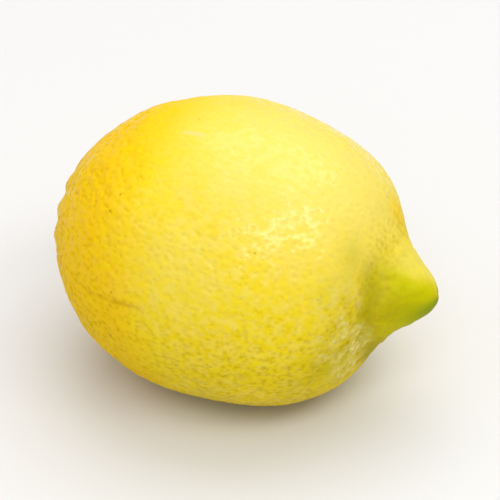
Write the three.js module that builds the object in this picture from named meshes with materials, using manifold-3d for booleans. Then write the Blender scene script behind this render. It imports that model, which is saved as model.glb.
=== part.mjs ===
// A lemon lying on its side: one grown fruit with a blunt nipple at its stylar end, and the dried,
// five-lobed button of calyx and clipped stem at its other end. Millimetres, +Z up. The origin is
// the centre of the small flat spot that the fruit lies on, and +X runs along it to the nipple.

import * as THREE from "three";
import { mergeVertices } from "three/addons/utils/BufferGeometryUtils.js";
import Module from "manifold-3d";

const { smoothstep, seededRandom, lerp } = THREE.MathUtils;

// The body: two halves of a full, slightly squared ellipsoid that meet at the equator.
const EQUATOR_RADIUS = 30;
const STYLAR_HALF_LENGTH = 33.4;
const STEM_HALF_LENGTH = 35.9;
const STYLAR_FULLNESS = 2.4; // 2 would be a plain ellipse, and more squares the shoulders
const STEM_FULLNESS = 2.3;
const REST_FLAT_DEPTH = 0.6; // how far the skin is pressed flat where the fruit lies

// The body isn't quite round: broad lengthwise lobes, deepest at the equator. Each is turned so that
// one of its hollows lies at the bottom, because a fruit rolls until it lies on its flattest side.
const LOBES = [
  { count: 2, height: 0.45, turn: 0 },
  { count: 3, height: 0.35, turn: Math.PI / 2 },
  { count: 5, height: 0.15, turn: -Math.PI / 2 },
];

// Broad swellings and hollows that make one side unlike another, each centred on a direction.
const SWELLINGS = [
  { towards: new THREE.Vector3(-0.12, 0.57, 0.82), height: 1.2, width: 0.4 },
  { towards: new THREE.Vector3(0.45, 0.64, 0.63), height: -0.2, width: 0.2 },
  { towards: new THREE.Vector3(0.91, 0.03, -0.42), height: -0.8, width: 0.12 },
];

// The nipple, with the furrow round its foot. Widths are angles seen from the body's centre.
const NIPPLE_AXIS = new THREE.Vector3(1, 0, -0.018).normalize();
const NIPPLE_HEIGHT = 8.6;
const NIPPLE_WIDTH = 0.205;
const NIPPLE_RIBS = 5;
const NIPPLE_RIB_HEIGHT = 0.22;
const FURROW_DEPTH = 0.35;
const FURROW_ANGLE = 0.47;
const FURROW_WIDTH = 0.13;
const STYLE_SCAR_RADIUS = 1.1; // the small pit where the flower's style fell off
const STYLE_SCAR_DEPTH = 0.4;
const STYLE_SCAR_OFFSET = new THREE.Vector3(0, 1.3, 0.2); // it lies a little beside the tip

// The stem end: a low collar that the button sits in, with wrinkles that run out of it.
const COLLAR_HEIGHT = 3;
const COLLAR_WIDTH = 0.34;
const SEAT_DEPTH = 4.6;
const SEAT_WIDTH = 0.19;
const WRINKLES = 13;
const WRINKLE_HEIGHT = 0.28;
const WRINKLE_ANGLE = 0.3;
const WRINKLE_WIDTH = 0.17;

// The oil glands: small pits all over the skin, drawn wider apart than life.
const GLAND_SEED = 7;
const GLAND_DEPTH = 0.5;
const GLAND_SHALLOWEST = 0.5; // share of that depth
const GLAND_CLEAR_HEIGHT = 3; // no pit is at full depth below this height over the table
const SKIN_SPLITS = 22; // extra cuts along each edge of the icosahedron that the skin starts from
const END_CROWDING = 0.07; // draws the skin's vertices towards both ends, where it curves most

// The stem button: the calyx, and the clipped stub of the stalk in its middle.
const CALYX_LOBES = 5;
const CALYX_NOTCH_RADIUS = 3.2;
const CALYX_LOBE_RADIUS = 4.9;
const CALYX_LOBE_ROUNDING = 0.8; // under 1 widens the lobes, and over 1 makes them pointed
const CALYX_LOPSIDED = 0.07; // the calyx is a little oval: this share longer one way, shorter the other
const CALYX_LOPSIDED_TURN = 1;
const CALYX_EDGE_THICKNESS = 0.5;
const CALYX_CROWN_THICKNESS = 1.1;
const CALYX_TIP_LIFT = 0.15;
const CALYX_LIFT_START = 0.6; // share of the reach at which the lobes begin to lift
const CALYX_RINGS = 6;
const CALYX_SEGMENTS = 60;
const STUB_RADIUS = 1.8;
const STUB_FOOT_RADIUS = 2.3;
const STUB_FOOT_HEIGHT = 1.7;
const STUB_HEIGHT = 2.6;
const STUB_CHAMFER = 0.25;
const PITH_RADIUS = 0.8;
const PITH_FLOOR_RADIUS = 0.5;
const PITH_DEPTH = 0.35;
const PEG_RADIUS = 1.3;
const PEG_DEPTH = 3;
const ROUND_SEGMENTS = 24;
const FIT_GAP = 0.3; // left between the button and its seat

const WELD = 1e-3; // vertices closer than this are one
const STYLAR_AXIS = new THREE.Vector3(1, 0, 0);
const STEM_AXIS = new THREE.Vector3(-1, 0, 0);
const DOWN = new THREE.Vector3(0, 0, -1);
const CORE_HEIGHT = skinRadius(DOWN) - REST_FLAT_DEPTH; // the body's centre over the table

const wasm = await Module();
wasm.setup();

/** A bell curve of height 1 that falls to 1/e at the given width. */
function bell(offset, width) {
  return Math.exp(-((offset / width) ** 2));
}

/** The sum of a list of numbers. */
function sum(numbers) {
  return numbers.reduce((total, number) => total + number, 0);
}

/** The angle round the fruit's long axis at which a direction lies. */
function turnOf(direction) {
  return Math.atan2(direction.z, direction.y);
}

/** The squared ellipsoid's distance from the body's centre, with its lobes. */
function bodyRadius(direction) {
  const stylar = direction.x > 0;
  const fullness = stylar ? STYLAR_FULLNESS : STEM_FULLNESS;
  const along = Math.abs(direction.x) / (stylar ? STYLAR_HALF_LENGTH : STEM_HALF_LENGTH);
  const across = Math.hypot(direction.y, direction.z);
  const round = (along ** fullness + (across / EQUATOR_RADIUS) ** fullness) ** (-1 / fullness);
  const turn = turnOf(direction);
  const lobes = LOBES.map((lobe) => lobe.height * Math.cos(lobe.count * turn + lobe.turn));
  const swells = SWELLINGS.map((one) => one.height * bell(direction.angleTo(one.towards), one.width));
  return round + across ** 3 * sum(lobes) + sum(swells);
}

/** What the nipple and its furrow add to the body. */
function nippleRelief(direction) {
  const angle = direction.angleTo(NIPPLE_AXIS);
  const flank = bell(angle - NIPPLE_WIDTH, NIPPLE_WIDTH / 2);
  const ribs = NIPPLE_RIB_HEIGHT * flank * Math.cos(NIPPLE_RIBS * turnOf(direction));
  const furrow = FURROW_DEPTH * bell(angle - FURROW_ANGLE, FURROW_WIDTH);
  return NIPPLE_HEIGHT * bell(angle, NIPPLE_WIDTH) + ribs - furrow;
}

/** What the collar, the button's seat and the wrinkles round it add to the body. */
function stemEndRelief(direction) {
  const angle = direction.angleTo(STEM_AXIS);
  const ring = bell(angle - WRINKLE_ANGLE, WRINKLE_WIDTH);
  const wrinkles = WRINKLE_HEIGHT * ring * Math.cos(WRINKLES * turnOf(direction));
  const collar = COLLAR_HEIGHT * bell(angle, COLLAR_WIDTH);
  return collar + wrinkles - SEAT_DEPTH * bell(angle, SEAT_WIDTH);
}

/** The distance from the body's centre to the skin. */
function skinRadius(direction) {
  return bodyRadius(direction) + nippleRelief(direction) + stemEndRelief(direction);
}

/** A closed three.js geometry as a manifold-3d solid. */
function solidOf(geometry) {
  const bare = geometry.clone();
  bare.deleteAttribute("normal");
  bare.deleteAttribute("uv");
  const merged = mergeVertices(bare, WELD);
  return new wasm.Manifold(
    new wasm.Mesh({
      numProp: 3,
      vertProperties: merged.attributes.position.array,
      triVerts: new Uint32Array(merged.index.array),
    }),
  );
}

/** A manifold-3d solid as a flat-shaded three.js geometry. */
function geometryOf(solid) {
  const mesh = solid.getMesh();
  const geometry = new THREE.BufferGeometry();
  geometry.setAttribute("position", new THREE.BufferAttribute(mesh.vertProperties, mesh.numProp));
  geometry.setIndex(new THREE.BufferAttribute(mesh.triVerts, 1));
  const flat = geometry.toNonIndexed();
  flat.computeVertexNormals();
  return flat;
}

/** A turned solid on the fruit's long axis, its profile given as [radius, distance out of the stem end]. */
function turnedOnStemAxis(profile) {
  const points = profile.map(([radius, out]) => new THREE.Vector2(radius, out));
  return new THREE.LatheGeometry(points, ROUND_SEGMENTS).rotateZ(Math.PI / 2);
}

/** The vertices that hold a gland: a seeded scatter in which no two are neighbours. */
function glandVertices(skin) {
  const count = skin.attributes.position.count;
  const neighbours = Array.from({ length: count }, () => new Set());
  const corners = skin.index.array;
  for (let i = 0; i < corners.length; i += 3) {
    const face = [corners[i], corners[i + 1], corners[i + 2]];
    face.forEach((a) => face.forEach((b) => a !== b && neighbours[a].add(b)));
  }
  seededRandom(GLAND_SEED);
  const draws = Array.from({ length: count }, (_, vertex) => ({ vertex, draw: seededRandom() }));
  draws.sort((a, b) => a.draw - b.draw);
  const glands = new Set();
  for (const { vertex } of draws)
    if (![...neighbours[vertex]].some((other) => glands.has(other))) glands.add(vertex);
  return glands;
}

/** A unit direction moved a little towards the nearer end of the fruit. */
function crowded(direction) {
  const polar = direction.angleTo(STYLAR_AXIS);
  const moved = polar - END_CROWDING * Math.sin(2 * polar);
  const across = Math.hypot(direction.y, direction.z) || 1;
  const side = Math.sin(moved) / across;
  return new THREE.Vector3(Math.cos(moved), direction.y * side, direction.z * side);
}

/** The whole skin, pitted, as a closed surface round the body's centre. */
function skinGeometry() {
  const sphere = new THREE.IcosahedronGeometry(1, SKIN_SPLITS);
  sphere.deleteAttribute("normal");
  sphere.deleteAttribute("uv");
  const skin = mergeVertices(sphere, WELD);
  const glands = glandVertices(skin);
  const places = skin.attributes.position;
  const place = new THREE.Vector3();
  for (let vertex = 0; vertex < places.count; vertex++) {
    const direction = crowded(place.fromBufferAttribute(places, vertex).normalize());
    const reach = skinRadius(direction);
    const height = CORE_HEIGHT + direction.z * reach;
    const depth = GLAND_DEPTH * lerp(GLAND_SHALLOWEST, 1, seededRandom());
    const pit = glands.has(vertex) ? depth * smoothstep(height, 0, GLAND_CLEAR_HEIGHT) : 0;
    place.copy(direction).multiplyScalar(reach - pit);
    places.setXYZ(vertex, place.x, place.y, place.z);
  }
  return skin;
}

/** The fruit: the skin pressed flat where it lies, scarred at the nipple and bored for the peg. */
function fruitGeometry() {
  const seatReach = skinRadius(STEM_AXIS);
  const tipReach = skinRadius(STYLAR_AXIS);
  const socket = turnedOnStemAxis([
    [0, seatReach - PEG_DEPTH - FIT_GAP],
    [PEG_RADIUS + FIT_GAP, seatReach - PEG_DEPTH - FIT_GAP],
    [PEG_RADIUS + FIT_GAP, seatReach + SEAT_DEPTH],
    [0, seatReach + SEAT_DEPTH],
  ]);
  const scar = turnedOnStemAxis([
    [0, -tipReach - STYLE_SCAR_DEPTH],
    [STYLE_SCAR_RADIUS, -tipReach - STYLE_SCAR_DEPTH],
    [STYLE_SCAR_RADIUS, STYLE_SCAR_DEPTH / 2 - tipReach],
    [STYLE_SCAR_RADIUS / 2, STYLE_SCAR_DEPTH - tipReach],
    [0, STYLE_SCAR_DEPTH - tipReach],
  ]).translate(...STYLE_SCAR_OFFSET);
  const side = 4 * EQUATOR_RADIUS;
  const table = new THREE.BoxGeometry(side, side, side).translate(0, 0, -CORE_HEIGHT - side / 2);
  const fruit = solidOf(skinGeometry())
    .subtract(solidOf(table))
    .subtract(solidOf(socket))
    .subtract(solidOf(scar));
  return geometryOf(fruit).translate(0, 0, CORE_HEIGHT);
}

/** How far the calyx reaches from the stem's axis at an angle round it. */
function calyxReach(turn) {
  const lobe = ((1 + Math.cos(CALYX_LOBES * turn)) / 2) ** CALYX_LOBE_ROUNDING;
  const lopsided = 1 + CALYX_LOPSIDED * Math.cos(2 * turn + CALYX_LOPSIDED_TURN);
  return lopsided * lerp(CALYX_NOTCH_RADIUS, CALYX_LOBE_RADIUS, lobe);
}

/** A point of the calyx, on its top or its underside, at a share of its reach. */
function calyxPoint(share, turn, onTop) {
  const spread = (share * calyxReach(turn)) / STEM_HALF_LENGTH;
  const side = Math.sin(spread);
  const direction = new THREE.Vector3(
    -Math.cos(spread),
    side * Math.cos(turn),
    side * Math.sin(turn),
  );
  const lobe = smoothstep(calyxReach(turn), CALYX_NOTCH_RADIUS, CALYX_LOBE_RADIUS);
  const lift = CALYX_TIP_LIFT * lobe * smoothstep(share, CALYX_LIFT_START, 1);
  const thickness = lerp(CALYX_CROWN_THICKNESS, CALYX_EDGE_THICKNESS, share ** 2);
  const over = FIT_GAP + lift + (onTop ? thickness : 0);
  return direction.multiplyScalar(skinRadius(direction) + over);
}

/** The calyx: a closed, five-lobed shell that follows the seat under it. */
function calyxGeometry() {
  const places = [];
  const faces = [];
  const layer = 1 + CALYX_RINGS * CALYX_SEGMENTS;
  for (const onTop of [true, false]) {
    places.push(...calyxPoint(0, 0, onTop));
    for (let ring = 1; ring <= CALYX_RINGS; ring++)
      for (let segment = 0; segment < CALYX_SEGMENTS; segment++) {
        const turn = (2 * Math.PI * segment) / CALYX_SEGMENTS;
        places.push(...calyxPoint(ring / CALYX_RINGS, turn, onTop));
      }
  }
  const at = (ring, segment) => 1 + (ring - 1) * CALYX_SEGMENTS + (segment % CALYX_SEGMENTS);
  const face = (a, b, c) => {
    faces.push(a, c, b);
    faces.push(a + layer, b + layer, c + layer);
  };
  for (let segment = 0; segment < CALYX_SEGMENTS; segment++) {
    face(0, at(1, segment), at(1, segment + 1));
    for (let ring = 1; ring < CALYX_RINGS; ring++) {
      face(at(ring, segment), at(ring + 1, segment), at(ring + 1, segment + 1));
      face(at(ring, segment), at(ring + 1, segment + 1), at(ring, segment + 1));
    }
    const edge = at(CALYX_RINGS, segment);
    const next = at(CALYX_RINGS, segment + 1);
    faces.push(edge, next, edge + layer);
    faces.push(next, next + layer, edge + layer);
  }
  const geometry = new THREE.BufferGeometry();
  geometry.setAttribute("position", new THREE.Float32BufferAttribute(places, 3));
  geometry.setIndex(faces);
  return geometry;
}

/** The button: the calyx, the clipped stub that stands in it and the peg under it, as one piece. */
function buttonGeometry() {
  const seatReach = skinRadius(STEM_AXIS);
  const foot = seatReach + FIT_GAP;
  const top = foot + STUB_HEIGHT;
  const stub = turnedOnStemAxis([
    [0, seatReach - PEG_DEPTH],
    [PEG_RADIUS, seatReach - PEG_DEPTH],
    [PEG_RADIUS, foot + CALYX_EDGE_THICKNESS],
    [STUB_FOOT_RADIUS, foot + CALYX_EDGE_THICKNESS],
    [STUB_RADIUS, foot + STUB_FOOT_HEIGHT],
    [STUB_RADIUS, top - STUB_CHAMFER],
    [STUB_RADIUS - STUB_CHAMFER, top],
    [PITH_RADIUS, top],
    [PITH_FLOOR_RADIUS, top - PITH_DEPTH],
    [0, top - PITH_DEPTH],
  ]);
  return geometryOf(solidOf(calyxGeometry()).add(solidOf(stub))).translate(0, 0, CORE_HEIGHT);
}

const peel = new THREE.MeshStandardMaterial({ color: 0xf6d51a, roughness: 0.45, metalness: 0 });
const driedStem = new THREE.MeshStandardMaterial({ color: 0x75693a, roughness: 0.85, metalness: 0 });

const fruit = new THREE.Mesh(fruitGeometry(), peel);
fruit.name = "fruit";

const stemButton = new THREE.Mesh(buttonGeometry(), driedStem);
stemButton.name = "stem_button";

const lemon = new THREE.Group();
lemon.add(fruit, stemButton);

export default lemon;
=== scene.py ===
"""A ripe lemon lying on its side, dressed for a studio picture.

The peel is a fine skin worked out by the same formula as the fruit's solid, with every oil gland pressed
into it. The stem button is the dried calyx with the clipped stalk in it. Formulas are in millimetres round
the centre of the body, with +X towards the nipple. Meshes are in metres round the spot that it rests on.
"""

import logging
import math
from dataclasses import dataclass
from enum import Enum
from typing import Any

import bmesh
import bpy
import numpy as np
from mathutils import Matrix, Vector, kdtree, noise


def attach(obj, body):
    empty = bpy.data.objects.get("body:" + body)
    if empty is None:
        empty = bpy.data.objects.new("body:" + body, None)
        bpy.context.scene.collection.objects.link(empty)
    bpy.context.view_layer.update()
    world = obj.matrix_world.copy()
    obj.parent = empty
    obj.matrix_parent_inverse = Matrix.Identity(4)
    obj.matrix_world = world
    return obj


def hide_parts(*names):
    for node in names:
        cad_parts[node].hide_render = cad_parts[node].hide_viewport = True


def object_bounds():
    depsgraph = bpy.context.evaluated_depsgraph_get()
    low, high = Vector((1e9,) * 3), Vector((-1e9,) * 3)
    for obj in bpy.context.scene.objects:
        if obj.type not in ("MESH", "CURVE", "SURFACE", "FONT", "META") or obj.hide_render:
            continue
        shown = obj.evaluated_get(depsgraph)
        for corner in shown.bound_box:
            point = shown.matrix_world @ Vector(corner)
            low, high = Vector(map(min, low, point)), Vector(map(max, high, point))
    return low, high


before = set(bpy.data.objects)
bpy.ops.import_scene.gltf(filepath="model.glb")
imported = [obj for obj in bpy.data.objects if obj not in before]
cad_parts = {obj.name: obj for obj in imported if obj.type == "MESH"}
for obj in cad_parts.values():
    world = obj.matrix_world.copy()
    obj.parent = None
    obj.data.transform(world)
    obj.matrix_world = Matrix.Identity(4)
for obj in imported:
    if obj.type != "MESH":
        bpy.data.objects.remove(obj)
CAD_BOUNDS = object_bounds()

log = logging.getLogger("lemon")

Array = np.ndarray
Pair = tuple[float, float]
Triple = tuple[float, float, float]
Socket = bpy.types.NodeSocket
Piece = bpy.types.Object

MM = 0.001
UP: Triple = (0.0, 0.0, 1.0)
DOWN: Triple = (0.0, 0.0, -1.0)


class End(Enum):
    """The two ends of the fruit, as directions from the centre of its body."""

    STYLAR = (1.0, 0.0, 0.0)
    STEM = (-1.0, 0.0, 0.0)


# ---- Small formulas ----


def unit(vectors: Array | Triple) -> Array:
    """One vector, or the vector in each row, scaled to length 1."""
    given = np.asarray(vectors, float)
    return given / np.linalg.norm(given, axis=-1, keepdims=True)


def bell(offset: Array, width: float) -> Array:
    """A bell curve of height 1 that falls to 1/e at the given width."""
    return np.exp(-((offset / width) ** 2))


def smooth(value: Array, low: float, high: float) -> Array:
    """A smooth step from 0 at low to 1 at high."""
    share = np.clip((value - low) / (high - low), 0.0, 1.0)
    return share * share * (3.0 - 2.0 * share)


def at_least(least: float, share: Array) -> Array:
    """A share from 0 to 1, squeezed into the range from the least value to 1."""
    return least + (1 - least) * share


def angle_from(rays: Array, axis: Array | Triple) -> Array:
    """The angle between each unit direction and an axis, in radians."""
    return np.arccos(np.clip(rays @ unit(axis), -1.0, 1.0))


def turn_of(points: Array) -> Array:
    """The angle round the fruit's long axis at which each point or direction lies."""
    return np.arctan2(points[:, 2], points[:, 1])


def grain(points: Array, size: float, octaves: int = 1, seed: float = 0.0) -> Array:
    """Smooth noise between about -1 and 1 over points in millimetres.

    Args:
        points: a point in each row.
        size: the width of one lump, in millimetres.
        octaves: how many finer layers are added, each half as strong.
        seed: moves the pattern.

    Returns:
        One value for each point.
    """
    shift = Vector((seed, 1.7 * seed, -0.6 * seed))
    places = (Vector(point) + shift for point in (points / size).tolist())
    return np.array([noise.fractal(place, 1.0, 2.0, octaves) for place in places])


# ---- Meshes ----


def geodesic(splits: int) -> tuple[Array, Array]:
    """An icosahedron with each face cut into a fine triangular grid and pushed out to a sphere.

    Args:
        splits: how many stretches each edge of the icosahedron is cut into.

    Returns:
        The unit directions of the vertices, and the triangles as rows of vertex numbers.
    """
    shell = bmesh.new()
    bmesh.ops.create_icosphere(shell, subdivisions=1, radius=1.0)
    corners = np.array([vertex.co[:] for vertex in shell.verts])
    sides = np.array([[vertex.index for vertex in face.verts] for face in shell.faces])
    shell.free()
    row, column = np.tril_indices(splits + 1)
    weights = np.stack([splits - row, row - column, column], axis=1) / splits
    points = np.einsum("gw,fwc->fgc", weights, corners[sides])
    row, column = np.tril_indices(splits)
    first = row * (row + 1) // 2 + column
    below = first + row + 1
    upright = np.stack([first, below, below + 1], axis=1)
    inverted = np.stack([first, below + 1, first + 1], axis=1)[column < row]
    grid = np.concatenate([upright, inverted])
    faces = (grid[None] + np.arange(len(sides))[:, None, None] * len(weights)).reshape(-1, 3)
    points = points.reshape(-1, 3)
    _, kept, number = np.unique(np.round(points, 6), axis=0, return_index=True, return_inverse=True)
    return unit(points[kept]), number.reshape(-1)[faces]


def new_piece(name: str, points: Array, faces: Array) -> Piece:
    """A smooth-shaded object made from points in millimetres.

    Args:
        name: the piece's name.
        points: a point in each row, in millimetres in the part's frame.
        faces: the faces, as rows of point numbers.

    Returns:
        The new object, linked into the scene.
    """
    mesh = bpy.data.meshes.new(name)
    mesh.from_pydata((points * MM).tolist(), [], faces.tolist())
    mesh.validate()
    mesh.shade_smooth()
    made = bpy.data.objects.new(name, mesh)
    bpy.context.scene.collection.objects.link(made)
    return made


def paint(piece: Piece, name: str, shares: Array) -> None:
    """Stores a share from 0 to 1 for each vertex of a piece, for its material to read."""
    layer = piece.data.attributes.new(name, "FLOAT", "POINT")
    layer.data.foreach_set("value", np.clip(shares, 0.0, 1.0).astype(np.float32))


# ---- Materials ----


def linear(colour: str) -> tuple[float, float, float, float]:
    """A colour's linear red, green, blue and alpha.

    Args:
        colour: the colour as sRGB hex, such as "#F4C90A".

    Returns:
        The linear values, with alpha 1.
    """
    shares = [int(colour[place : place + 2], 16) / 255 for place in (1, 3, 5)]
    light = (share / 12.92 if share <= 0.04045 else ((share + 0.055) / 1.055) ** 2.4 for share in shares)
    return (*light, 1.0)


def add(
    tree: bpy.types.NodeTree,
    kind: str,
    settings: dict[str, Any] | None = None,
    inputs: dict[Any, Any] | None = None,
) -> bpy.types.Node:
    """Adds one node to a material.

    Args:
        tree: the material's node tree.
        kind: the node's type name.
        settings: properties of the node, by name.
        inputs: what each input takes, by name or number: an output socket to link, or a plain value.

    Returns:
        The new node.
    """
    node = tree.nodes.new(kind)
    for key, value in (settings or {}).items():
        setattr(node, key, value)
    for key, value in (inputs or {}).items():
        if isinstance(value, Socket):
            tree.links.new(value, node.inputs[key])
        else:
            node.inputs[key].default_value = value
    return node


def new_material(name: str) -> tuple[bpy.types.Material, Socket]:
    """An empty material.

    Args:
        name: the material's name.

    Returns:
        The material, and the node output that gives each point's place on its object, in metres.
    """
    material = bpy.data.materials.new(name)
    material.use_nodes = True
    material.node_tree.nodes.clear()
    return material, add(material.node_tree, "ShaderNodeTexCoord").outputs["Object"]


def finished(material: bpy.types.Material, inputs: dict[str, Any]) -> bpy.types.Material:
    """Gives an empty material its Principled shader.

    Args:
        material: the material.
        inputs: what the shader's inputs take, by name: an output socket to link, or a plain value.

    Returns:
        The same material.
    """
    shader = add(material.node_tree, "ShaderNodeBsdfPrincipled", inputs=inputs)
    add(material.node_tree, "ShaderNodeOutputMaterial", inputs={"Surface": shader.outputs[0]})
    return material


@dataclass(frozen=True)
class Grit:
    """A fine relief: how wide and how deep its bumps are, in millimetres, and how strongly it shows."""

    size: float
    depth: float
    strength: float
    detail: float

    def over(self, place: Socket) -> Socket:
        """Adds the relief to a material.

        Args:
            place: the coordinates that it is laid over, in metres.

        Returns:
            The output that gives the bent normals.
        """
        scale = {"Vector": place, "Scale": 1 / (self.size * MM), "Detail": self.detail}
        bumps = add(place.id_data, "ShaderNodeTexNoise", inputs=scale).outputs["Fac"]
        height = {"Height": bumps, "Strength": self.strength, "Distance": self.depth * MM}
        return add(place.id_data, "ShaderNodeBump", inputs=height).outputs["Normal"]


@dataclass(frozen=True)
class Speckles:
    """Noise pushed apart: a speck's width in millimetres, and the values that give 0 and full strength."""

    size: float
    low: float
    high: float
    detail: float = 2.0
    strength: float = 1.0
    roughness: float = 0.55

    def over(self, place: Socket) -> Socket:
        """Adds the pattern to a material.

        Args:
            place: the coordinates that it is laid over, in metres.

        Returns:
            The output that gives its value.
        """
        scale = {"Vector": place, "Scale": 1 / (self.size * MM)}
        rough = {"Detail": self.detail, "Roughness": self.roughness}
        clouds = add(place.id_data, "ShaderNodeTexNoise", inputs=scale | rough).outputs["Fac"]
        spread = {"Value": clouds, "From Min": self.low, "From Max": self.high, "To Max": self.strength}
        step = {"interpolation_type": "SMOOTHSTEP"}
        return add(place.id_data, "ShaderNodeMapRange", step, spread).outputs["Result"]


@dataclass(frozen=True)
class Layer:
    """Where one colour or gloss shows: its painted mask, and the patterns that break it up."""

    painted: str | None = None
    patterns: tuple[Speckles, ...] = ()

    def share(self, place: Socket) -> Socket:
        """Multiplies the mask and the patterns.

        Args:
            place: the coordinates that the patterns are laid over, in metres.

        Returns:
            The output that gives how far the layer shows, from 0 to 1.
        """
        tree = place.id_data
        shown = [pattern.over(place) for pattern in self.patterns]
        if self.painted:
            shown.append(add(tree, "ShaderNodeAttribute", {"attribute_name": self.painted}).outputs["Fac"])
        product = shown[0]
        for factor in shown[1:]:
            factors = {0: product, 1: factor}
            product = add(tree, "ShaderNodeMath", {"operation": "MULTIPLY"}, factors).outputs[0]
        return product


def layered(place: Socket, base: str, layers: list[tuple[str, Layer]]) -> Socket:
    """Lays colours over each other.

    Args:
        place: the coordinates that their patterns are laid over, in metres.
        base: the lowest colour, as sRGB hex.
        layers: the other colours as sRGB hex, from the lowest up, with where each shows.

    Returns:
        The output that gives the colour.
    """
    tone = linear(base)
    for colour, layer in layers:
        # The Mix node's sockets 0, 6 and 7 are the factor and its two colours, and output 2 is their mix.
        colours = {0: layer.share(place), 6: tone, 7: linear(colour)}
        tone = add(place.id_data, "ShaderNodeMix", {"data_type": "RGBA"}, colours).outputs[2]
    return tone


@dataclass(frozen=True)
class WaxedLemonPeel:
    """Ripe lemon peel, washed and waxed for sale.

    It is a saturated yellow that turns lime green where the fruit ripened last, at the nipple. Light goes a
    little way in, so shadows stay warm. Oil glands show as small darker dots, and the wax gives a satin
    gloss that the glands break up into glints. The patterns are as wide as on the fruit, in millimetres, but
    the pores are too fine to show and are drawn several times as wide.
    """

    ripe: str = "#EFD41C"
    golden: str = "#F4C503"
    pale: str = "#ECD96E"
    gland: str = "#B39600"
    olive: str = "#ABA00C"
    lime: str = "#C0BC06"
    deep_green_and_shade: str = "#7F9010"
    scuff: str = "#E5D67C"
    scar: str = "#E6CC98"
    crease: str = "#B98C0E"
    speck: str = "#6A4A14"
    stem_tint_and_shade: str = "#B98A1A"
    style_scar: str = "#7A5A2A"
    patches: Speckles = Speckles(17.0, 0.35, 0.7, strength=0.15)
    pale_flakes_and_glints: Speckles = Speckles(1.9, 0.42, 0.68, 3.0)
    mottling: Speckles = Speckles(1.9, 0.12, 0.5, 3.0)
    freckles: Speckles = Speckles(1.1, 0.44, 0.7)
    clusters: Speckles = Speckles(4.5, 0.3, 0.6)
    smudges: Speckles = Speckles(2.6, 0.36, 0.6, 3.0)
    faint_smudges: Speckles = Speckles(2.6, 0.36, 0.6, 3.0, strength=0.35)
    scratches: Speckles = Speckles(1.1, 0.45, 0.63, 3.0)
    dull: Speckles = Speckles(1.9, 0.35, 0.7, 3.0)
    waxed: Speckles = Speckles(1.9, 0.4, 0.58)
    pores: Grit = Grit(0.7, 0.12, 0.4, 3.0)
    sleekest: float = 0.4
    dullest: float = 0.56
    refraction: float = 1.46
    gloss: float = 0.03
    wax_roughness: float = 0.22
    glow: float = 0.1
    glow_reach: float = 2.0
    glow_colours: Triple = (1.0, 0.55, 0.12)

    def colours(self) -> list[tuple[str, Layer]]:
        """The colours over the ripe yellow, from the lowest up, with where each shows."""
        return [
            (self.golden, Layer(None, (self.patches,))),
            # Pale flecks, partly painted glints.
            (self.pale, Layer("pale_flakes_and_glints", (self.pale_flakes_and_glints,))),
            # The golden stem side and shoulder, with painted warm reflected light on top of the stem side.
            (self.golden, Layer("golden", (self.mottling,))),
            # Painted light: the pale upper side, drawn as if lit from above.
            (self.pale, Layer("pale")),
            (self.lime, Layer("lime")),
            # The olive tint, with painted shade at the nipple's foot, in spots and below.
            (self.olive, Layer("olive")),
            # Deeper green under the nipple's tip, partly painted shade.
            (self.deep_green_and_shade, Layer("deep_green_and_shade")),
            # The brown round the stem's seat, partly painted shade in the hollow.
            (self.stem_tint_and_shade, Layer("stem_tint_and_shade")),
            (self.gland, Layer("freckles", (self.freckles, self.clusters))),
            (self.gland, Layer("gland_dot")),
            (self.scuff, Layer("scuff", (self.faint_smudges,))),
            (self.scuff, Layer("scuff", (self.smudges, self.scratches))),
            # The crease's brown, partly painted shade in its groove.
            (self.crease, Layer("crease")),
            (self.scar, Layer("scar")),
            (self.speck, Layer("speck")),
            (self.style_scar, Layer("style_scar")),
        ]

    def make(self) -> bpy.types.Material:
        """Builds the material.

        Returns:
            The peel's material.
        """
        material, place = new_material("waxed_lemon_peel")
        between = {"Value": self.dull.over(place), "To Min": self.sleekest, "To Max": self.dullest}
        rough = add(material.node_tree, "ShaderNodeMapRange", inputs=between).outputs["Result"]
        inputs = {
            "Base Color": layered(place, self.ripe, self.colours()),
            "Roughness": rough,
            "Normal": self.pores.over(place),
            "IOR": self.refraction,
            "Specular IOR Level": self.gloss,
            "Coat Weight": Layer("wax", (self.waxed,)).share(place),
            "Coat Roughness": self.wax_roughness,
            "Subsurface Weight": self.glow,
            "Subsurface Radius": self.glow_colours,
            "Subsurface Scale": self.glow_reach * MM,
        }
        return finished(material, inputs)


@dataclass(frozen=True)
class DriedCalyx:
    """The dead calyx and stalk of a picked citrus fruit, dried in the air.

    It is a dull grey-brown with an olive cast, darker in its cracks and lighter at the cut. The wrinkles are
    too fine to show and are drawn about twice as wide.
    """

    bark: str = "#7A6C3A"
    dark: str = "#4A3B1E"
    bleached: str = "#A8986A"
    pith: str = "#B7A67A"
    bleaching: Speckles = Speckles(1.4, 0.4, 0.65, 4.0)
    cracks: Speckles = Speckles(0.5, 0.5, 0.7, 3.0)
    wrinkles: Grit = Grit(0.5, 0.12, 0.7, 4.0)
    roughness: float = 0.82

    def make(self) -> bpy.types.Material:
        """Builds the material.

        Returns:
            The stem button's material.
        """
        material, place = new_material("dried_citrus_calyx")
        layers = [
            (self.bleached, Layer(None, (self.bleaching,))),
            (self.dark, Layer(None, (self.cracks,))),
            (self.dark, Layer("edge")),
            (self.pith, Layer("pith")),
        ]
        inputs = {
            "Base Color": layered(place, self.bark, layers),
            "Roughness": self.roughness,
            "Normal": self.wrinkles.over(place),
        }
        return finished(material, inputs)


@dataclass(frozen=True)
class MatteBoard:
    """White coated board, the studio's floor: flat, even and nearly without gloss."""

    white: str = "#E0DFDE"
    roughness: float = 0.9
    gloss: float = 0.1

    def make(self) -> bpy.types.Material:
        """Builds the floor's material."""
        plain = {"Roughness": self.roughness, "Specular IOR Level": self.gloss}
        return finished(new_material("white_board")[0], {"Base Color": linear(self.white)} | plain)


# ---- The fruit ----


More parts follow.
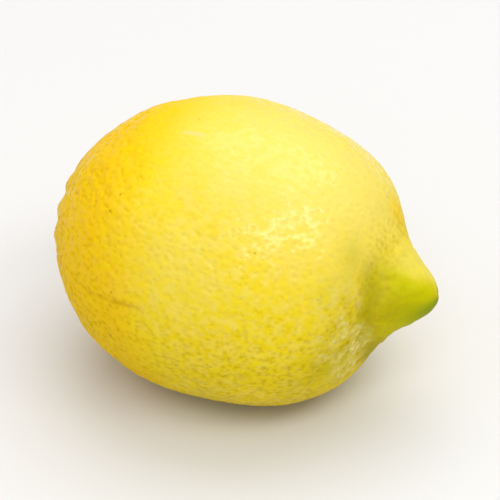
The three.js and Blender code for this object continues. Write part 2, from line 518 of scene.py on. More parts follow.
@dataclass(frozen=True)
class Swelling:
    """A broad swelling of the skin, or a hollow where its height is below 0, centred on a direction."""

    towards: Triple
    height: float
    width: float

    def relief(self, rays: Array) -> Array:
        """What it adds to the skin in each direction, in millimetres."""
        return self.height * bell(angle_from(rays, self.towards), self.width)

    def patch(self, rays: Array, core: float, drift: Array | float = 0.0) -> Array:
        """The same place as a flat patch, given its core's share of the width and the drift of its edge."""
        away = angle_from(rays, self.towards) + drift
        return self.height * (1 - smooth(away, core * self.width, self.width))


@dataclass(frozen=True)
class Slope:
    """A zone of the skin that grows along a direction, from nothing at one level to whole at another."""

    towards: Triple
    low: float
    high: float
    strength: float = 1.0
    drift: float = 0.0

    def share(self, rays: Array, drift: Array | float = 0.0) -> Array:
        """How far each direction lies in the zone, up to the zone's strength, with drift at its edges."""
        level = rays @ np.array(self.towards) + self.drift * drift
        return self.strength * smooth(level, self.low, self.high)


@dataclass(frozen=True)
class Streak:
    """A thin mark on the skin that runs from one direction to another and fades out at both its ends."""

    start: Triple
    finish: Triple
    width: float
    strength: float
    sway: float
    sways: int = 5
    fade_in: Pair = (-0.05, 0.3)
    fade_out: Pair = (0.6, 1.05)

    def shown(self, rays: Array) -> Array:
        """How far the streak shows.

        Args:
            rays: a unit direction in each row.

        Returns:
            A share for each direction, from 0 to 1.
        """
        start, finish = unit(self.start), unit(self.finish)
        across = unit(np.cross(start, finish))
        along = rays @ unit(np.cross(across, start))
        way = np.arctan2(along, rays @ start) / math.acos(float(start @ finish))
        off = rays @ across + self.sway * np.sin(self.sways * way)
        ends = smooth(way, *self.fade_in) * (1 - smooth(way, *self.fade_out))
        return ends * bell(off, self.width)


@dataclass(frozen=True)
class Ripple:
    """A ring of equal waves round an axis: how many there are, how high, and how far they are turned."""

    count: int
    height: float
    turn: float = 0.0

    def relief(self, turn: Array) -> Array:
        """What it adds at each angle round the axis."""
        return self.height * np.cos(self.count * turn + self.turn)


@dataclass(frozen=True)
class LemonForm:
    """The fruit's skin, as a distance from the centre of its body in each direction, in millimetres."""

    equator_radius: float = 30.0
    stylar_half_length: float = 33.4
    stem_half_length: float = 35.9
    stylar_fullness: float = 2.4
    stem_fullness: float = 2.3
    rest_flat_depth: float = 0.6
    flat_blend: float = 0.12
    lobes: tuple[Ripple, ...] = (
        Ripple(2, 0.45),
        Ripple(3, 0.35, math.pi / 2),
        Ripple(5, 0.15, -math.pi / 2),
    )
    swellings: tuple[Swelling, ...] = (
        Swelling((-0.12, 0.57, 0.82), 1.2, 0.4),
        Swelling((0.45, 0.64, 0.63), -0.2, 0.2),
        Swelling((0.91, 0.03, -0.42), -0.8, 0.12),
    )
    nipple_axis: Triple = (1.0, 0.0, -0.018)
    nipple_height: float = 8.6
    nipple_width: float = 0.205
    nipple_ribs: Ripple = Ripple(5, 0.22)
    furrow_depth: float = 0.35
    furrow_angle: float = 0.47
    furrow_width: float = 0.13
    style_scar_radius: float = 1.1
    style_scar_depth: float = 0.4
    style_scar_offset: Pair = (1.3, 0.2)
    collar_height: float = 3.0
    collar_width: float = 0.34
    seat_depth: float = 4.6
    seat_width: float = 0.19
    wrinkles: Ripple = Ripple(13, 0.28)
    wrinkle_angle: float = 0.3
    wrinkle_width: float = 0.17

    @property
    def core_height(self) -> float:
        """The height of the body's centre over the surface that the fruit rests on."""
        return float(self.skin(np.array([DOWN]))[0]) - self.rest_flat_depth

    def body(self, rays: Array) -> Array:
        """The squared ellipsoid with its lobes and swellings.

        Args:
            rays: a unit direction in each row.

        Returns:
            The distance from the centre in each direction.
        """
        stylar = rays[:, 0] > 0
        fullness = np.where(stylar, self.stylar_fullness, self.stem_fullness)
        along = np.abs(rays[:, 0]) / np.where(stylar, self.stylar_half_length, self.stem_half_length)
        across = np.hypot(rays[:, 1], rays[:, 2])
        rounded = (along**fullness + (across / self.equator_radius) ** fullness) ** (-1 / fullness)
        ridges = sum(lobe.relief(turn_of(rays)) for lobe in self.lobes)
        return rounded + across**3 * ridges + sum(one.relief(rays) for one in self.swellings)

    def nipple(self, rays: Array) -> Array:
        """What the nipple and the furrow round its foot add.

        Args:
            rays: a unit direction in each row.

        Returns:
            The added distance in each direction.
        """
        angle = angle_from(rays, self.nipple_axis)
        flank = bell(angle - self.nipple_width, self.nipple_width / 2)
        ribs = flank * self.nipple_ribs.relief(turn_of(rays))
        furrow = self.furrow_depth * bell(angle - self.furrow_angle, self.furrow_width)
        return self.nipple_height * bell(angle, self.nipple_width) + ribs - furrow

    def stem_end(self, rays: Array) -> Array:
        """What the collar, the button's seat and the wrinkles round it add.

        Args:
            rays: a unit direction in each row.

        Returns:
            The added distance in each direction.
        """
        angle = angle_from(rays, End.STEM.value)
        ring = bell(angle - self.wrinkle_angle, self.wrinkle_width)
        folds = ring * self.wrinkles.relief(turn_of(rays))
        collar = self.collar_height * bell(angle, self.collar_width)
        return collar + folds - self.seat_depth * bell(angle, self.seat_width)

    def skin(self, rays: Array) -> Array:
        """The distance from the body's centre to the skin in each direction."""
        return self.body(rays) + self.nipple(rays) + self.stem_end(rays)

    def reach(self, end: End) -> float:
        """How far the skin reaches at one end of the fruit, from the centre of its body."""
        return float(self.skin(np.array([end.value]))[0])

    def surface(self, rays: Array, lift: Array | float = 0.0) -> Array:
        """Points of the skin round the centre of the body, or so many millimetres over it."""
        return rays * (self.skin(rays) + lift)[:, None]

    def set_down(self, points: Array) -> Array:
        """Moves points to the part's frame and presses flat whatever reaches under the table.

        Args:
            points: points round the centre of the body, in millimetres.

        Returns:
            The points in the part's frame, in millimetres.
        """
        placed = points + (0.0, 0.0, self.core_height)
        height = placed[:, 2] / self.flat_blend
        pressed = np.log1p(np.exp(np.minimum(height, 50.0)))
        placed[:, 2] = self.flat_blend * np.where(height > 3, height, pressed)
        return placed


@dataclass(frozen=True)
class OilGlands:
    """The pits over the oil glands: a seeded, even scatter over the skin, in millimetres."""

    form: LemonForm
    spacing: float = 1.55
    radius: float = 0.5
    radius_spread: float = 0.16
    depth: float = 0.19
    drift: float = 0.34
    stretch: float = 1.3
    wall: Pair = (0.1, 1.0)
    shallowest: float = 0.55
    pressed_height: float = 0.3
    clear_height: float = 2.0
    shallow_nipple: float = 0.6
    nipple_edge: Pair = (0.12, 0.42)
    seat_edge: Pair = (0.12, 0.2)
    deeper: Slope = Slope(End.STEM.value, 0.1, 0.7, 0.7)
    shallower: Slope = Slope(UP, 0.68, 0.92, 0.5)
    seed: int = 11
    sample_size: int = 4000

    def scatter(self) -> tuple[Array, Array]:
        """Places the glands on a golden spiral round the fruit and shakes them a little.

        Returns:
            The unit directions of the glands, and a random share from 0 to 1 for each.
        """
        draw = np.random.default_rng(self.seed)
        sample = self.form.skin(unit(draw.normal(size=(self.sample_size, 3))))
        area = 4 * math.pi * float(np.mean(sample**2))
        count = round(area / (self.spacing**2 * math.sqrt(3) / 2))
        along = 1 - (2 * np.arange(count) + 1) / count
        turn = np.arange(count) * math.pi * (3 - math.sqrt(5))
        across = np.sqrt(1 - along**2)
        rays = np.stack([along, across * np.cos(turn), across * np.sin(turn)], axis=1)
        rays = drawn_to_ends(rays)
        shake = draw.normal(size=rays.shape) * self.drift * self.spacing / self.form.equator_radius
        return unit(rays + shake), draw.random(count)

    def press(self, rays: Array) -> tuple[Array, Array]:
        """Works out how deep each point of the skin lies in a gland's pit.

        Args:
            rays: a unit direction in each row.

        Returns:
            The depth at each point in millimetres, and how near it is to a gland's middle, from 0 to 1.
        """
        centres, chance = self.scatter()
        middles = self.form.surface(centres)
        points = self.form.surface(rays)
        tree = kdtree.KDTree(len(middles))
        for number, middle in enumerate(middles.tolist()):
            tree.insert(middle, number)
        tree.balance()
        nearest = np.array([tree.find(point)[1] for point in points.tolist()])
        offset = points - middles[nearest]
        stem = np.array(End.STEM.value)
        lengthwise = unit(stem - rays * (rays @ stem)[:, None] + 1e-9)
        along = np.einsum("ij,ij->i", offset, lengthwise)
        squeezed = offset - lengthwise * (along * (1 - 1 / self.stretch))[:, None]
        distance = np.linalg.norm(squeezed, axis=1)
        radius = self.radius * (1 + self.radius_spread * (2 * chance[nearest] - 1))
        near = 1 - smooth(distance / radius, *self.wall)
        near *= at_least(self.shallowest, chance[nearest])
        near *= smooth(self.form.core_height + points[:, 2], self.pressed_height, self.clear_height)
        tip = angle_from(rays, self.form.nipple_axis)
        near *= at_least(self.shallow_nipple, smooth(tip, *self.nipple_edge))
        near *= 1 + self.deeper.share(rays)
        near *= 1 - self.shallower.share(rays)
        near *= smooth(angle_from(rays, End.STEM.value), *self.seat_edge)
        return self.depth * near, near


def drawn_to_ends(rays: Array, share: float = 0.07) -> Array:
    """Moves directions a little towards the nearer end of the fruit, where its skin lies further out.

    Args:
        rays: a unit direction in each row.
        share: how far they move, in radians, where they move most.

    Returns:
        The moved unit directions.
    """
    polar = angle_from(rays, End.STYLAR.value)
    moved = polar - share * np.sin(2 * polar)
    side = np.sin(moved) / np.maximum(np.hypot(rays[:, 1], rays[:, 2]), 1e-9)
    return np.stack([np.cos(moved), rays[:, 1] * side, rays[:, 2] * side], axis=1)


@dataclass
class PeelTint:
    """Where each colour, mark and gloss of the peel shows, as a share for each point of the skin.

    Angles are in radians and lengths in millimetres. The two values of an edge are where a zone starts and
    where it is whole, and drift makes the edges wander. A plain number in a method is the share of one zone
    that adds to a mask or holds it back.
    """

    form: LemonForm
    crease: Streak
    rays: Array
    points: Array
    near: Array
    scarred: Array
    drift_size: float = 7.0
    late_side: Pair = (-0.83, -0.56)
    late_edge: Pair = (-3.6, 1.6)
    late_drift: float = 1.2
    least_green: float = 0.3
    nipple_edge: Pair = (0.16, 0.46)
    nipple_drift: float = 0.05
    deep_green_and_shade: float = 0.85
    deep_edge: Pair = (0.05, 0.24)
    under_side: Pair = (-0.66, -1.0)
    under_edge: Pair = (0.3, 1.1)
    neck_angle: float = 0.38
    neck_width: float = 0.12
    neck_edge: Pair = (-4.0, 6.0)
    lower_side: Slope = Slope(DOWN, -0.25, 0.45)
    upper_side: Slope = Slope((0.5, 0.0, 1.0), 0.45, 1.15, drift=0.1)
    stem_side: Slope = Slope((-1.0, 0.0, -0.15), 0.05, 0.65, drift=0.12)
    stylar_side: Slope = Slope(End.STYLAR.value, -0.3, 0.6)
    dotted_side: Slope = Slope(DOWN, -0.42, 0.43)
    bottom: Slope = Slope(DOWN, 0.1, 0.45, 0.25)
    handled: tuple[Slope, ...] = (
        Slope(End.STYLAR.value, 0.6, 0.92, 0.7),
        Slope(End.STEM.value, -0.1, 0.5, 0.6),
        Slope(DOWN, -0.35, 0.3, 0.6),
        Slope(UP, 0.7, 0.92, 0.4),
    )
    shoulder: Swelling = Swelling((0.905, 0.235, 0.35), 1.0, 0.12)
    # Painted reflected light: a warm golden cast on the upper stem side.
    painted_bounce: Swelling = Swelling((-0.5, -0.05, 0.87), 0.6, 0.4)
    bleached: Swelling = Swelling((-0.05, -0.83, 0.53), 0.35, 0.4)
    scuffs: tuple[Swelling, ...] = (
        Swelling((0.81, -0.55, 0.22), 0.42, 0.2),
        Swelling((0.78, -0.62, -0.06), 0.6, 0.16),
        Swelling((0.85, -0.52, 0.02), 0.85, 0.2),
        Swelling((0.875, -0.45, -0.15), 1.0, 0.2),
        Swelling((0.85, -0.41, -0.34), 0.8, 0.19),
    )
    scuff_core: float = 0.3
    scuff_drift: float = 0.06
    # Spots of painted shade, drawn in olive.
    painted_shades: tuple[Swelling, ...] = (
        Swelling((0.94, -0.28, 0.16), 0.18, 0.12),
        Swelling((0.93, -0.3, -0.05), 0.27, 0.12),
        Swelling((0.79, -0.58, -0.2), 0.52, 0.2),
        Swelling((0.86, -0.48, 0.19), 0.33, 0.15),
        Swelling((0.835, -0.35, 0.42), 0.3, 0.1),
        Swelling((0.975, -0.22, 0.01), 0.35, 0.08),
        Swelling((0.96, -0.27, -0.08), 0.2, 0.08),
    )
    # Rings round the button's seat, a strength and a width each, tinted brown and drawn darker as painted
    # shade in the hollow.
    stem_rings: tuple[Pair, ...] = ((0.75, 0.19), (0.15, 0.4))
    crease_gaps: float = 2.2
    crease_broken: Pair = (-0.25, 0.35)
    crease_least: float = 0.35
    scratch: Streak = Streak((-0.335, -0.15, 0.93), (-0.143, -0.172, 0.975), 0.014, 0.5, 0.004)
    dry_spot: Swelling = Swelling((-0.22, -0.16, 0.962), 0.55, 0.032)
    dry_core: float = 0.25
    main_specks: tuple[Triple, ...] = (
        (-0.574, -0.612, 0.543),
        (-0.542, -0.554, 0.632),
        (0.395, -0.729, 0.559),
    )
    other_specks: int = 14
    speck_angles: Pair = (0.008, 0.016)
    speck_core: float = 0.3
    speck_strength: float = 0.62
    speck_seed: int = 23

    def __post_init__(self) -> None:
        """Works out the zones of the skin that the masks are made of, with a value for each point."""
        self.drift = grain(self.points, self.drift_size, octaves=3, seed=4.0)
        self.tip = angle_from(self.rays, self.form.nipple_axis)
        self.late = self.points[:, 1:] @ self.late_side
        ripened = smooth(self.late + self.late_drift * self.drift, *self.late_edge)
        self.green = at_least(self.least_green, ripened)
        self.nipple = 1 - smooth(self.tip + self.nipple_drift * self.drift, *self.nipple_edge)
        self.neck = bell(self.tip - self.neck_angle, self.neck_width)
        self.lower = self.lower_side.share(self.rays)
        self.upper = self.upper_side.share(self.rays, self.drift)
        self.stem = self.stem_side.share(self.rays, self.drift)
        self.on_shoulder = self.shoulder.relief(self.rays)
        self.in_painted_bounce = self.painted_bounce.relief(self.rays)
        drift = self.scuff_drift * self.drift
        scuffs = [scuff.patch(self.rays, self.scuff_core, drift) for scuff in self.scuffs]
        self.rubbed = np.max(scuffs, axis=0)

    def masks(self) -> dict[str, Array]:
        """Works out all the masks that the peel's material reads.

        Returns:
            The masks by name, each with a share for each point.
        """
        freckles = self.freckled()
        from_stem = angle_from(self.rays, End.STEM.value)
        return {
            "lime": self.nipple * self.green,
            # The nipple's deeper green near its tip, drawn on its underside only: partly its own colour,
            # partly painted shade.
            "deep_green_and_shade": self.deep_green_and_shade * (1 - smooth(self.tip, *self.deep_edge)) * self.underside(),
            # The stem side's own deeper yellow and the shoulder, with painted warm reflected light on the
            # upper stem side.
            "golden": np.maximum(np.maximum(self.stem, 0.8 * self.on_shoulder), self.in_painted_bounce),
            # Painted light: the upper side drawn paler as if lit, and the paler nipple top.
            "pale": self.pale_and_painted_light(),
            # Pale flecks in the peel, partly painted glints.
            "pale_flakes_and_glints": 0.23 * (1 - 0.6 * self.upper) * (1 - 0.3 * self.lower) * (1 - 0.6 * self.stem),
            # The peel's olive tint, with painted shade in the nipple's furrow, in spots and below.
            "olive": self.olive_and_painted_shade(),
            "scuff": self.rubbed,
            "wax": self.waxed(),
            "freckles": 1.05 * freckles,
            "gland_dot": (0.03 + 1.15 * freckles) * self.near,
            # A brown line along the crease, partly painted shade in the groove.
            "crease": self.crease_brown_and_shade(),
            "scar": self.scratched(),
            "speck": self.specks(),
            # A brown tint round the button, partly painted shade in its hollow.
            "stem_tint_and_shade": sum(share * bell(from_stem, width) for share, width in self.stem_rings),
            "style_scar": 0.9 * self.scarred,
        }

    def underside(self) -> Array:
        """The underside of the nipple, as a share for each point."""
        off_axis = np.hypot(self.rays[:, 1], self.rays[:, 2]) + 1e-6
        return smooth(self.rays[:, 1:] @ self.under_side / off_axis, *self.under_edge)

    def pale_and_painted_light(self) -> Array:
        """Painted light on the upper side, drawn paler where light falls, a paler patch on the front, and
        the nipple paler where it isn't green.

        Returns:
            A share for each point.
        """
        # Painted light: the upper side is drawn paler, as if lit from above, but not on the shoulder or in
        # the painted reflected light.
        light = 0.85 * self.upper * (1 - 0.8 * self.on_shoulder) * (1 - 0.7 * self.in_painted_bounce)
        light = np.maximum(light, self.bleached.relief(self.rays)) * (1 - 0.7 * self.stem)
        return np.maximum(light, 0.9 * self.nipple * (1 - self.green))

    def olive_and_painted_shade(self) -> Array:
        """The olive round the nipple's foot and at the scuffs, partly the peel's own tint and partly painted
        shade, with spots of painted shade and darker towards the underside.

        Returns:
            A share for each point.
        """
        # Painted shade: the furrow at the nipple's foot, the listed spots and the lower side are drawn
        # darker olive.
        foot = self.neck * (0.1 + 0.7 * smooth(self.late, *self.neck_edge))
        painted_shade_spots = sum(one.relief(self.rays) for one in self.painted_shades)
        shade = np.maximum(np.maximum(foot, painted_shade_spots), 0.5 * self.rubbed) + 0.16 * self.lower
        return shade * (1 + 0.4 * self.drift)

    def waxed(self) -> Array:
        """How much of the wax has stayed where the fruit wasn't handled or rubbed, as a share."""
        worn = (0.8 * self.rubbed, 0.7 * self.on_shoulder, *(one.share(self.rays) for one in self.handled))
        return np.clip(1 - sum(worn), 0.03, 1) * (1 - 0.85 * self.near)

    def freckled(self) -> Array:
        """How thickly the skin is freckled, mostly below and round the nipple's foot.

        Returns:
            A share for each point.
        """
        dotted = self.dotted_side.share(self.rays) * (1 - self.bottom.share(self.rays))
        dotted *= at_least(0.65, self.stylar_side.share(self.rays))
        thick = 0.35 * self.neck + 0.52 * dotted + 0.35 * self.rubbed + 0.045 * (1 - 0.8 * self.upper)
        return thick * (1 - 0.25 * self.nipple)

    def crease_brown_and_shade(self) -> Array:
        """How dark the crease in the side is, partly its own brown and partly painted shade in its groove,
        with gaps in it.

        Returns:
            A share for each point.
        """
        gaps = grain(self.points, self.crease_gaps, octaves=2, seed=13.0)
        broken = at_least(self.crease_least, smooth(gaps, *self.crease_broken))
        return self.crease.strength * broken * self.crease.shown(self.rays)

    def scratched(self) -> Array:
        """The small dry scar on top, where a twig rubbed the fruit, as a share for each point."""
        spot = self.dry_spot.patch(self.rays, self.dry_core)
        return np.maximum(self.scratch.strength * self.scratch.shown(self.rays), spot)

    def specks(self) -> Array:
        """A few dark specks, each under a millimetre across.

        Returns:
            A share for each point.
        """
        draw = np.random.default_rng(self.speck_seed)
        others = unit(draw.normal(size=(self.other_specks, 3)))
        places = np.concatenate([unit(self.main_specks), others])
        sizes = draw.uniform(*self.speck_angles, len(places))
        specks = [Swelling(place, self.speck_strength, size) for place, size in zip(places, sizes)]
        return np.max([speck.patch(self.rays, self.speck_core) for speck in specks], axis=0)


@dataclass
class Peel:
    """The whole outside of the fruit, as one fine skin, in millimetres and radians."""

    form: LemonForm
    splits: int = 99
    fold_height: float = 0.42
    fold_width: float = 1.7
    fold_angle: float = 0.24
    fold_spread: float = 0.15
    fold_squeeze: Triple = (0.3, 1.0, 1.0)
    lumps: tuple[Pair, ...] = ((16.0, 0.3), (6.0, 0.12), (2.4, 0.065), (1.3, 0.045))
    calm_seat: Pair = (0.1, 0.35)
    rougher: Slope = Slope(End.STEM.value, 0.0, 0.7, 1.1)
    calmer: Slope = Slope(UP, 0.68, 0.92, 0.45)
    dents: tuple[Swelling, ...] = (
        Swelling((0.959, 0.12, 0.256), -0.35, 0.05),
        Swelling((0.9, 0.235, 0.36), 0.3, 0.05),
        Swelling((0.888, -0.048, 0.456), -0.22, 0.07),
        Swelling((0.907, -0.191, 0.376), 0.2, 0.06),
        Swelling((0.93, -0.28, 0.2), -0.22, 0.07),
    )
    crease: Streak = Streak((-0.785, -0.62, 0.045), (-0.19, -0.975, 0.09), 0.015, 0.55, 0.022)
    crease_depth: float = 0.2
    scar_rim: Pair = (0.35, 1.05)

    def build(self) -> Piece:
        """Makes the skin, with its pits and low lumps, and stores the masks for its colours.

        Returns:
            The peel.
        """
        sphere, faces = geodesic(self.splits)
        rays = drawn_to_ends(sphere)
        depth, near = OilGlands(self.form).press(rays)
        points = self.form.surface(rays)
        scar = self.style_scar(rays)
        lift = self.unevenness(rays, points) - depth - self.form.style_scar_depth * scar
        skin = self.form.set_down(self.form.surface(rays, lift))
        peel = new_piece("peel", skin, faces)
        tint = PeelTint(self.form, self.crease, rays, points, near, scar)
        for name, shares in tint.masks().items():
            paint(peel, name, shares)
        return peel

    def unevenness(self, rays: Array, points: Array) -> Array:
        """The peel's low lumps and dents, the crease, and the folds that the nipple's flank dries into.

        Args:
            rays: a unit direction in each row.
            points: the skin's points in those directions, in millimetres.

        Returns:
            What they add in each direction, in millimetres.
        """
        lumps = sum(height * grain(points, size, seed=size) for size, height in self.lumps)
        lumps *= smooth(angle_from(rays, End.STEM.value), *self.calm_seat)
        lumps *= 1 + self.rougher.share(rays)
        lumps *= 1 - self.calmer.share(rays)
        flank = bell(angle_from(rays, self.form.nipple_axis) - self.fold_angle, self.fold_spread)
        folds = grain(points * self.fold_squeeze, self.fold_width, octaves=2, seed=9.0)
        dents = sum(dent.relief(rays) for dent in self.dents)
        dents -= self.crease_depth * self.crease.shown(rays)
        return lumps + self.fold_height * flank * folds + dents

    def style_scar(self, rays: Array) -> Array:
        """How deep each direction lies in the small scar at the nipple's tip.

        Args:
            rays: a unit direction in each row.

        Returns:
            A share for each direction, from 0 to 1.
        """
        places = rays[:, 1:] * self.form.reach(End.STYLAR) - self.form.style_scar_offset
        off_axis = np.linalg.norm(places, axis=1) / self.form.style_scar_radius
        return np.where(rays[:, 0] > 0, 1 - smooth(off_axis, *self.scar_rim), 0.0)

    def dress(self, peel: Piece) -> None:
        """Gives the peel its material and ties it to the fruit's solid.

        Args:
            peel: the skin.
        """
        peel.data.materials.append(WaxedLemonPeel().make())
        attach(peel, "root")
        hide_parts("fruit")


# ---- The stem button ----


@dataclass
class StemButton:
    """The dried calyx that stays on a picked fruit, with the clipped stub of the stalk, in millimetres.

    The stub's outline is a radius and a height over its foot in each pair, up to the sunken pith.
    """

    form: LemonForm
    lobes: int = 5
    notch_radius: float = 3.2
    lobe_radius: float = 4.9
    lobe_rounding: float = 0.8
    lopsided: Ripple = Ripple(2, 0.07, 1.0)
    ragged: tuple[Ripple, ...] = (
        Ripple(13, 0.14, -0.2708),
        Ripple(23, 0.1, -1.5708),
        Ripple(41, 0.07, -0.8708),
    )
    ragged_from: float = 0.6
    folds: Ripple = Ripple(10, 0.12, 0.4)
    fine_folds: Ripple = Ripple(23, 0.08)
    fold_twist: float = 4 / 23
    folded: Pair = (0.1, 0.5)
    rounded: Pair = (0.75, 1.0)
    rounding: float = 0.45
    edge_thickness: float = 0.5
    crown_thickness: float = 1.1
    tip_lift: float = 0.15
    lift_start: float = 0.6
    under_lift: float = 0.4
    fit_gap: float = 0.3
    dry_gap: float = 0.06
    rings: int = 40
    segments: int = 240
    inmost: float = 0.02
    stub_outline: tuple[Pair, ...] = (
        (2.645, 0.5),
        (2.3, 1.1),
        (1.908, 1.35),
        (1.8, 1.7),
        (1.8, 2.35),
        (1.675, 2.55),
        (1.55, 2.6),
        (0.8, 2.6),
        (0.5, 2.25),
        (0.0, 2.25),
    )
    stub_rings: int = 40
    flutes: Ripple = Ripple(9, 0.035, 0.8)
    fine_flutes: Ripple = Ripple(21, 0.02)
    flute_twist: float = 2 / 21
    cut_slant: Ripple = Ripple(1, 0.12, 0.6)
    slanted_from: float = 1.52
    dark_strength: float = 0.85
    dark_edge: Pair = (0.8, 1.05)
    pale_height: Pair = (2.1, 2.4)
    pale_rim: Pair = (1.3, 1.8)

    def reach(self, turn: Array) -> Array:
        """How far the calyx reaches from the stem's axis.

        Args:
            turn: angles round the stem's axis.

        Returns:
            The reach at each angle.
        """
        lobe = ((1 + np.cos(self.lobes * turn)) / 2) ** self.lobe_rounding
        reach = self.notch_radius + (self.lobe_radius - self.notch_radius) * lobe
        return reach * (1 + self.lopsided.relief(turn))

    def shell(self, share: Array, turn: Array, on_top: bool) -> Array:
        """Points of the calyx's top or underside, round the centre of the body.

        Args:
            share: how far out each point lies, from 0 at the stem's axis to 1 at the edge.
            turn: the angle of each round the stem's axis.
            on_top: True for the side that shows.

        Returns:
            A point in each row.
        """
        reach = self.reach(turn)
        ragged = sum(ripple.relief(turn) for ripple in self.ragged) * smooth(share, self.ragged_from, 1.0)
        spread = share * (reach + ragged) / self.form.stem_half_length
        off_axis = np.sin(spread)
        rays = np.stack([-np.cos(spread), off_axis * np.cos(turn), off_axis * np.sin(turn)], axis=1)
        lobe = smooth(reach, self.notch_radius, self.lobe_radius)
        lift = self.tip_lift * lobe * smooth(share, self.lift_start, 1.0)
        thick = self.crown_thickness + (self.edge_thickness - self.crown_thickness) * share**2
        if not on_top:
            return self.form.surface(rays, self.dry_gap + self.under_lift * lift)
        folds = self.folds.relief(turn) + self.fine_folds.relief(turn + self.fold_twist * share)
        folds *= smooth(share, *self.folded)
        thick *= 1 - self.rounding * smooth(share, *self.rounded)
        return self.form.surface(rays, self.fit_gap + lift + thick + folds)

    def stub(self, turn: Array) -> Array:
        """Points of the fluted stub, round the centre of the body.

        Args:
            turn: the angles of one ring's points round the stem's axis.

        Returns:
            A point in each row, ring by ring from the stub's foot to the middle of the cut.
        """
        outline = np.array(self.stub_outline)
        along = np.cumsum([0.0, *np.linalg.norm(np.diff(outline, axis=0), axis=1)])
        even = np.linspace(0.0, along[-1], self.stub_rings)
        radius, height = (np.interp(even, along, column)[:, None] for column in outline.T)
        twist = self.flute_twist * np.arange(self.stub_rings)[:, None] / self.stub_rings
        wide = radius * (1 + self.flutes.relief(turn) + self.fine_flutes.relief(turn + twist))
        slant = self.cut_slant.relief(turn) * (height > self.slanted_from)
        out = self.form.reach(End.STEM) + self.fit_gap + height + slant
        return np.stack([-out, wide * np.cos(turn), wide * np.sin(turn)], axis=-1).reshape(-1, 3)

    def build(self) -> Piece:
        """Makes the calyx and the stalk as one piece, and stores the masks for its colours.

        Returns:
            The stem button.
        """
        turn = np.linspace(0.0, 2 * math.pi, self.segments, endpoint=False)
        share = np.repeat(np.linspace(self.inmost, 1.0, self.rings), self.segments)
        turns = np.tile(turn, self.rings)
        calyx = [self.shell(share, turns, True), self.shell(share[::-1], turns, False)]
        points = np.concatenate([*calyx, self.stub(turn)])
        # No faces join the calyx's last ring to the stalk's first.
        rows = np.delete(np.arange(2 * self.rings + self.stub_rings - 1), 2 * self.rings - 1)
        here = rows[:, None] * self.segments + np.arange(self.segments)
        beside = np.roll(here, -1, axis=1)
        faces = np.stack([here, beside, beside + self.segments, here + self.segments], axis=-1)
        placed = points + (0.0, 0.0, self.form.core_height)
        button = new_piece("stem_button_dried", placed, faces.reshape(-1, 4))
        off_axis = np.hypot(points[:, 1], points[:, 2])
        dark = smooth(off_axis / self.reach(turn_of(points)), *self.dark_edge)
        paint(button, "edge", self.dark_strength * dark)
        height = -points[:, 0] - self.form.reach(End.STEM) - self.fit_gap
        pale = smooth(height, *self.pale_height) * (1 - smooth(off_axis, *self.pale_rim))
        paint(button, "pith", pale)
        return button

    def dress(self, button: Piece) -> None:
        """Gives the stem button its material and ties it to its solid.

        Args:
            button: the stem button.
        """
        button.data.materials.append(DriedCalyx().make())
        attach(button, "root")
        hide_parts("stem_button")


# ---- The studio ----


def aim(data: bpy.types.ID, target: Vector, towards: Vector, distance: float) -> Piece:
    """Places a light or a camera so that it faces a target.

    Args:
        data: the light or the camera.
        target: the point that it faces.
        towards: the unit direction from the target to it.
        distance: how far off it is, in metres.

    Returns:
        The new object, linked into the scene.
    """
    made = bpy.data.objects.new(data.name, data)
    turned = towards.to_track_quat("Z", "Y").to_matrix().to_4x4()
    made.matrix_world = Matrix.Translation(target + towards * distance) @ turned
    bpy.context.scene.collection.objects.link(made)
    return made


@dataclass(frozen=True)
class Softbox:
    """A rectangular studio light that faces the fruit. Its sizes and distance are in metres."""

    name: str
    towards: Triple
    distance: float
    width: float
    height: float
    power: float

    def build(self, target: Vector) -> None:
        """Hangs the light up.

        Args:
            target: the point that it is aimed at.
        """
        lamp = bpy.data.lights.new(self.name, "AREA")
        lamp.shape = "RECTANGLE"
        lamp.size = self.width
        lamp.size_y = self.height
        lamp.energy = self.power
        aim(lamp, target, Vector(self.towards).normalized(), self.distance)


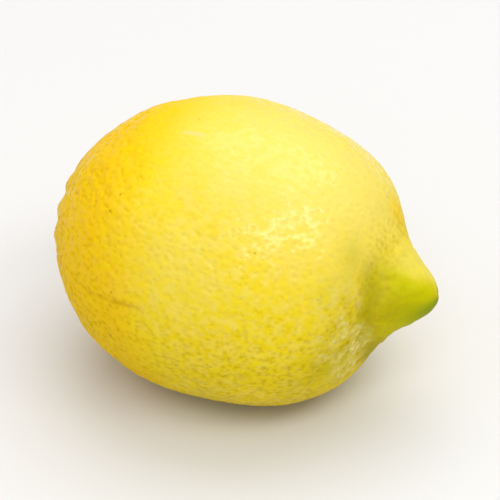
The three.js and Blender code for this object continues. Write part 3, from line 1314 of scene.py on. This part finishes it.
@dataclass
class Studio:
    """The floor, the lights and the camera, in metres and degrees. The floor's sink is in millimetres."""

    target: Vector
    azimuth: float = 21.5
    elevation: float = 35.0
    distance: float = 0.7
    frame_width: float = 0.1
    sensor: float = 36.0
    floor_side: float = 6.0
    floor_sink: float = 0.02
    horizon_light: float = 0.3
    zenith_light: float = 0.75
    softboxes: tuple[Softbox, ...] = (
        Softbox("key_softbox", (0.42, -0.41, 0.81), 0.95, 1.0, 0.3, 3.9),
        Softbox("left_softbox", (-0.62, -0.42, 0.66), 1.2, 0.9, 0.7, 1.05),
        Softbox("front_softbox", (0.1, -0.88, 0.47), 1.2, 1.0, 0.7, 1.15),
        Softbox("top_softbox", (0.0, 0.42, 0.91), 1.1, 1.3, 0.9, 6.5),
    )

    def floor(self) -> None:
        """Lays the plain floor, sunk by a hair so that it doesn't share the fruit's flat spot."""
        half = self.floor_side / 2
        corners = np.array([(-half, -half, 0), (half, -half, 0), (half, half, 0), (-half, half, 0)])
        made = new_piece("floor", corners / MM - (0.0, 0.0, self.floor_sink), np.array([[0, 1, 2, 3]]))
        made.data.materials.append(MatteBoard().make())

    def surroundings(self) -> None:
        """Fills the room with white light, stronger from above, and shows colours as they are."""
        world = bpy.data.worlds.new("white_room")
        world.use_nodes = True
        tree = world.node_tree
        air = tree.nodes["Background"]
        air.inputs["Color"].default_value = (1.0, 1.0, 1.0, 1.0)
        way = add(tree, "ShaderNodeTexCoord").outputs["Generated"]
        up = add(tree, "ShaderNodeSeparateXYZ", inputs={0: way}).outputs["Z"]
        light = {"Value": up, "To Min": self.horizon_light, "To Max": self.zenith_light}
        level = add(tree, "ShaderNodeMapRange", inputs=light).outputs["Result"]
        tree.links.new(level, air.inputs["Strength"])
        bpy.context.scene.world = world
        bpy.context.scene.view_settings.view_transform = "Standard"

    def camera(self) -> None:
        """Sets the camera up where it looks down on the fruit from its nipple's side."""
        turn, lift = math.radians(self.azimuth), math.radians(self.elevation)
        back = Vector((math.sin(turn) * math.cos(lift), -math.cos(turn) * math.cos(lift), math.sin(lift)))
        lens = bpy.data.cameras.new("camera")
        lens.sensor_width = self.sensor
        lens.lens = self.sensor * self.distance / self.frame_width
        bpy.context.scene.camera = aim(lens, self.target, back, self.distance)

    def build(self) -> None:
        """Builds the whole studio."""
        self.surroundings()
        self.floor()
        for softbox in self.softboxes:
            softbox.build(self.target)
        self.camera()


def main() -> None:
    """Builds the lemon and the studio round it, and reports each piece."""
    logging.basicConfig(level=logging.INFO, format="%(name)s: %(message)s")
    form = LemonForm()
    for builder in (Peel(form), StemButton(form)):
        piece = builder.build()
        builder.dress(piece)
        mesh = piece.data
        log.info("%s: %d vertices, %d faces", piece.name, len(mesh.vertices), len(mesh.polygons))
    low, high = CAD_BOUNDS
    Studio(target=(Vector(low) + Vector(high)) / 2).build()


if __name__ == "__main__":
    main()
